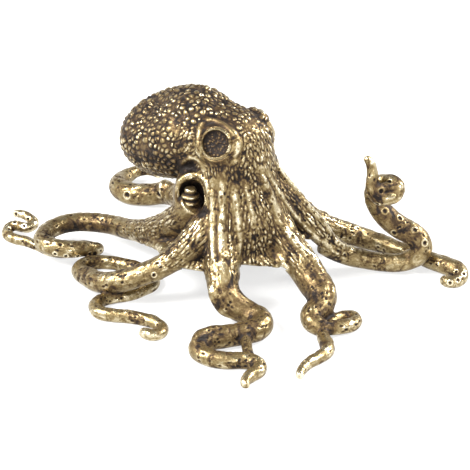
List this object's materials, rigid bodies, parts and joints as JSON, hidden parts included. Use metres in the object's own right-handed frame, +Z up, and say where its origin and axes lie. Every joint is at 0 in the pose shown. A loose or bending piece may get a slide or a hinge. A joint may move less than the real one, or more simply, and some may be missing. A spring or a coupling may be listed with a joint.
{
  "type": "octopus figurine",
  "caption": "Small antiqued brass octopus with a pebbled sack-like mantle, ring eyes, a hooded siphon and curling arms, one tip raised in a loop; it rests on its arms.",
  "frame": {"origin": "under the middle of the whole figure, in the plane that it rests on", "axes": "+Z up; +Y away from the viewer of the picture; +X towards the raised arm, to the viewer's right"},
  "size_m": [0.0968, 0.0912, 0.0399],
  "materials": {
    "brass": "antiqued, dark in the recesses and rubbed bright on the ridges"
  },
  "bodies": {
    "root": {"mantle": "brass", "head_web": "brass", "siphon": "brass", "left_eye": "brass", "right_eye": "brass", "front_arm": "brass", "front_right_arm": "brass", "raised_arm": "brass", "right_arm": "brass", "rear_arm": "brass", "rear_left_arm": "brass", "left_arm": "brass", "front_left_arm": "brass"}
  },
  "joints": []
}
